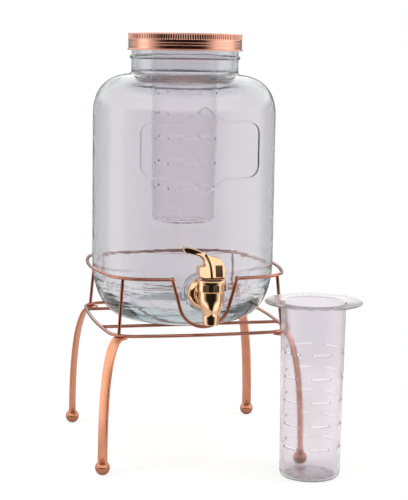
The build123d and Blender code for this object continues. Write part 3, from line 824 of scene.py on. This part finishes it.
# Hood and blade are cast together; the groove, the window and the slot for the stem are cut afterwards
def makeLever():
    at = leverPoint
    top = through([at(-1, 1), at(-0.77, 0.966), at(-0.492, 0.881), at(-0.239, 0.771), at(0.049, 0.689)], 5)
    right = through([at(0.049, 0.689), at(0.243, 0.633), at(0.374, 0.508), at(0.42, 0.282)], 5)[1:]
    foot = [at(0.42, 0.042), at(0.37, 0), at(-0.23, 0), at(-0.508, 0.09), at(-0.508, 0.384)]
    under = through([at(-0.269, 0.412), at(-0.354, 0.582), at(-0.508, 0.706), at(-0.852, 0.785)], 5)
    tip = bezier(at(-0.852, 0.785), at(-1.06, 0.79), at(-1.12, 0.99), at(-1, 1), 8)[:-1]
    outline = top + right + foot + under + tip
    piece = leverSlab("leverHood", outline, lever["hood"])
    hoodBend = lever["hoodBend"] * lever["rise"]
    combine(piece, leaningBar("hoodFaces", lever["hood"], lever["hoodTop"], lever["foot"], hoodBend), "INTERSECT")
    rounded(piece, lever["hoodRound"], 3, 30)
    blade = leverSlab("leverBlade", outline, lever["half"])
    middle = (-0.62 * lever["reach"], tapY, lever["heel"] + 0.75 * lever["rise"])
    combine(blade, addBar("bladeZone", (lever["reach"], 0.03, lever["rise"]), middle, 0), "INTERSECT")
    faces = leaningBar("bladeFaces", lever["half"], lever["bladeTop"], 0.4 * lever["rise"], 1.02 * lever["rise"])
    combine(blade, faces, "INTERSECT")
    castSkin(blade, lever["grain"], lever["bladeRound"])
    piece = joined([piece, blade])
    castSkin(piece, lever["grain"], 8)
    groove = through([at(-0.279, 0.76), at(-0.138, 0.523), at(-0.085, 0.254), at(-0.079, -0.028)], 5)
    cuts = leverSlab("grooveCut", ribbon(groove, lever["groove"]), 0.02)
    x0, z0 = at(0.069, 0.0565)
    x1, z1 = at(0.331, 0.4295)
    window = leverSlab("windowCut", [(x0, z0), (x1, z0), (x1, z1), (x0, z1)], 0.02)
    for cutter in (cuts, window):
        floor = leaningBar("cutFloor", lever["cutLow"], lever["cutTop"], lever["foot"], hoodBend)
        combine(cutter, floor, "DIFFERENCE")
        combine(piece, cutter, "DIFFERENCE")
    deep = lever["pinUp"] + 1.55 * lever["tongue"]  # room for the stem's tongue
    place = (0, tapY, lever["heel"] + deep / 2 - 0.0005)
    fork = addBar("forkSlot", (4 * lever["tongue"], 2 * lever["slot"], deep + 0.001), place, 0)
    combine(piece, fork, "DIFFERENCE")
    return placed(piece, "tap_metal", "lever", ["lever"], smooth=35)


print("making the jar")
makeJar()
print("making the band")
makeBand()
makeLidDisc()
print("making the tap")
makeTapBody()
makeBonnetNut()
makeLever()
print("making the infusers")
makeInfuser("large_infuser", "large_infuser")
makeInfuser("small_infuser", "small_infuser")
print("making legs and feet")
for end in ("front", "back"):
    for side in ("left", "right"):
        makeLeg(end, side)
        makeFoot(end, side)


# Camera, from a fit of the rings, feet and jar outline
view = {"lens": 102.85, "sensor": 36, "place": (-0.3706, -1.6409, 0.4675), "turn": (82.129, -0.849, -13.477)}


def addCamera():
    data = bpy.data.cameras.new("camera")
    data.lens = view["lens"]
    data.sensor_width = view["sensor"]
    camera = bpy.data.objects.new("camera", data)
    bpy.context.scene.collection.objects.link(camera)
    camera.location = view["place"]
    camera.rotation_euler = tuple(math.radians(a) for a in view["turn"])
    bpy.context.scene.camera = camera


# Surroundings: white seen directly. In reflections they are bright at both sides and up to the ceiling, dark in
# front and dim behind; through clear walls they are softer. Stops are (degrees round from the front, brightness).
around = {
    "mirrored": (
        (-180, 0.2), (-152, 0.35), (-130, 0.6), (-112, 0.85), (-99, 1.7), (-85, 1.7), (-75, 1.0),
        (-63, 0.5), (-50, 0.1), (-38, 0.02), (30, 0.015), (42, 0.1), (54, 0.6), (66, 1.2),
        (92, 1.7), (108, 1.6), (124, 0.7), (150, 0.35), (180, 0.2)),
    "through": (
        (-180, 1.0), (-158, 0.95), (-132, 0.6), (-95, 0.5), (-60, 0.75), (-20, 0.6),
        (20, 0.6), (60, 0.75), (95, 0.5), (132, 0.6), (158, 0.95), (180, 1.0)),
    "front": (-0.233, -0.972), "ceilingFrom": 0.1, "ceilingTo": 0.24, "ceiling": 1.4, "above": 0.9,
    "fallFrom": 0.6, "fallTo": 0.86, "overhead": 0.35, "narrowFrom": 0.3, "narrow": 4.0,
}


def addRamp(tree, turn, stops):
    shade = tree.nodes.new("ShaderNodeValToRGB")
    tree.links.new(turn, shade.inputs[0])
    ramp = shade.color_ramp.elements
    while len(ramp) < len(stops):
        ramp.new(0.5)
    for stop, (degrees, value) in zip(ramp, stops):
        stop.position = degrees / 360 + 0.5
        stop.color = (value, value * 0.985, value * 0.985, 1)
    return shade.outputs[0]


# Smooth step from 0 to 1 between two values
def addRise(tree, value, start, end):
    rise = tree.nodes.new("ShaderNodeMapRange")
    rise.interpolation_type = "SMOOTHSTEP"
    rise.inputs["From Min"].default_value = start
    rise.inputs["From Max"].default_value = end
    tree.links.new(value, rise.inputs["Value"])
    return rise


# Mixes two colours, each a socket or the brightness of a warm white
def blended(tree, share, first, second):
    mix = tree.nodes.new("ShaderNodeMix")
    mix.data_type = "RGBA"
    tree.links.new(share, mix.inputs["Factor"])
    for label, value in (("A", first), ("B", second)):
        if isinstance(value, float):
            mix.inputs[label].default_value = (value, value * 0.985, value * 0.97, 1)
        else:
            tree.links.new(value, mix.inputs[label])
    return mix.outputs["Result"]


def addWorld():
    world = bpy.data.worlds.new("studio")
    bpy.context.scene.world = world
    world.use_nodes = True
    tree = world.node_tree
    tree.nodes.clear()
    way = tree.nodes.new("ShaderNodeTexCoord").outputs["Generated"]
    parts = tree.nodes.new("ShaderNodeSeparateXYZ")
    tree.links.new(way, parts.inputs[0])
    x, y, z = parts.outputs
    frontX, frontY = around["front"]
    toward = addMath(tree, "MULTIPLY_ADD", x, frontX, addMath(tree, "MULTIPLY", y, frontY))
    right = addMath(tree, "MULTIPLY_ADD", x, -frontY, addMath(tree, "MULTIPLY", y, frontX))
    turn = addMath(tree, "ARCTAN2", right, toward)
    wide = addMath(tree, "MULTIPLY_ADD", turn, 0.5 / math.pi, 0.5)
    below = addMath(tree, "MULTIPLY_ADD", z, -1.0, -around["narrowFrom"])
    below = addMath(tree, "MAXIMUM", below, 0.0)
    squeeze = addMath(tree, "MULTIPLY_ADD", below, around["narrow"], 1.0)  # dark front narrows below eye level
    narrowed = addMath(tree, "MULTIPLY", turn, squeeze)
    narrowed = addMath(tree, "MULTIPLY_ADD", narrowed, 0.5 / math.pi, 0.5)
    narrowed = addMath(tree, "MAXIMUM", addMath(tree, "MINIMUM", narrowed, 0.8), 0.2)
    low = addMath(tree, "GREATER_THAN", below, 0.0)
    high = addMath(tree, "SUBTRACT", 1.0, low)
    narrowed = addMath(tree, "MULTIPLY", narrowed, low)
    narrowed = addMath(tree, "MULTIPLY_ADD", wide, high, narrowed)
    lift = addRise(tree, z, around["ceilingFrom"], around["ceilingTo"]).outputs[0]
    fall = addRise(tree, z, around["fallFrom"], around["fallTo"]).outputs[0]
    mirrored = blended(tree, lift, addRamp(tree, narrowed, around["mirrored"]), around["ceiling"])
    mirrored = blended(tree, fall, mirrored, around["overhead"])
    through = blended(tree, lift, addRamp(tree, wide, around["through"]), around["above"])
    light = tree.nodes.new("ShaderNodeLightPath")
    either = blended(tree, light.outputs["Is Transmission Ray"], mirrored, through)
    background = tree.nodes.new("ShaderNodeBackground")
    tree.links.new(either, background.inputs["Color"])
    white = tree.nodes.new("ShaderNodeBackground")
    white.inputs["Color"].default_value = (1, 1, 1, 1)
    mix = tree.nodes.new("ShaderNodeMixShader")
    tree.links.new(light.outputs["Is Camera Ray"], mix.inputs[0])
    tree.links.new(background.outputs[0], mix.inputs[1])
    tree.links.new(white.outputs[0], mix.inputs[2])
    out = tree.nodes.new("ShaderNodeOutputWorld")
    tree.links.new(mix.outputs[0], out.inputs["Surface"])


def addLight(name, place, aim, size, power):
    data = bpy.data.lights.new(name, "AREA")
    data.shape = "RECTANGLE"
    data.size, data.size_y = size
    data.energy = power
    light = bpy.data.objects.new(name, data)
    bpy.context.scene.collection.objects.link(light)
    light.location = place
    light.rotation_euler = (Vector(aim) - Vector(place)).to_track_quat("-Z", "Y").to_euler()
    light.visible_glossy = False
    light.visible_transmission = False


# Pale round floor: mostly plain white to the camera, so only a faint shadow shows, and quite white at its edge
floorSize = {
    "radius": 0.42, "back": 0.08, "fadeFrom": 0.27, "fadeTo": 0.4,
    "share": 0.8, "direct": 0.9, "mirrored": 0.55, "through": 0.85, "seen": 0.3,
}


def addFloor():
    clearSelection()
    place = (0, floorSize["back"], 0)
    bpy.ops.mesh.primitive_circle_add(
        vertices=96, radius=floorSize["radius"], fill_type="NGON", location=place)
    floor = bpy.context.object
    floor.name = "floor"
    material = bpy.data.materials.new("floor")
    material.use_nodes = True
    tree = material.node_tree
    shader = tree.nodes["Principled BSDF"]
    shader.inputs["Roughness"].default_value = 0.9
    light = tree.nodes.new("ShaderNodeLightPath")
    colour = blended(tree, light.outputs["Is Glossy Ray"], floorSize["direct"], floorSize["mirrored"])
    colour = blended(tree, light.outputs["Is Transmission Ray"], colour, floorSize["through"])
    tree.links.new(colour, shader.inputs["Base Color"])
    distance = tree.nodes.new("ShaderNodeVectorMath")
    distance.operation = "LENGTH"
    tree.links.new(tree.nodes.new("ShaderNodeTexCoord").outputs["Object"], distance.inputs[0])
    fade = addRise(tree, distance.outputs["Value"], floorSize["fadeFrom"], floorSize["fadeTo"])
    fade.inputs["To Min"].default_value = floorSize["share"]
    glow = tree.nodes.new("ShaderNodeEmission")
    mix = tree.nodes.new("ShaderNodeMixShader")
    seen = addMath(tree, "MULTIPLY", light.outputs["Is Transmission Ray"], floorSize["seen"])
    seen = addMath(tree, "MAXIMUM", seen, addMath(tree, "MULTIPLY", light.outputs["Is Camera Ray"], fade.outputs[0]))
    tree.links.new(seen, mix.inputs[0])
    tree.links.new(shader.outputs[0], mix.inputs[1])
    tree.links.new(glow.outputs[0], mix.inputs[2])
    tree.links.new(mix.outputs[0], tree.nodes["Material Output"].inputs["Surface"])
    floor.data.materials.append(material)


# Light turns back and forth many times in the jar's thick shoulder and heel
bounces = bpy.context.scene.cycles
bounces.max_bounces = 40
bounces.glossy_bounces = 24
bounces.transmission_bounces = 32
addCamera()
addWorld()
addFloor()
for name, place, size, power in (
    ("leftSoft", (-1.3, -0.5, 0.7), (0.5, 1.2), 12),
    ("rightSoft", (1.3, -0.6, 0.8), (0.5, 1.2), 12),
    ("topSoft", (0.0, -0.2, 1.8), (1.2, 1.0), 10),
):
    addLight(name, place, (0, 0, 0.25), size, power)
bpy.context.scene.view_settings.view_transform = "Standard"
print("stage set")
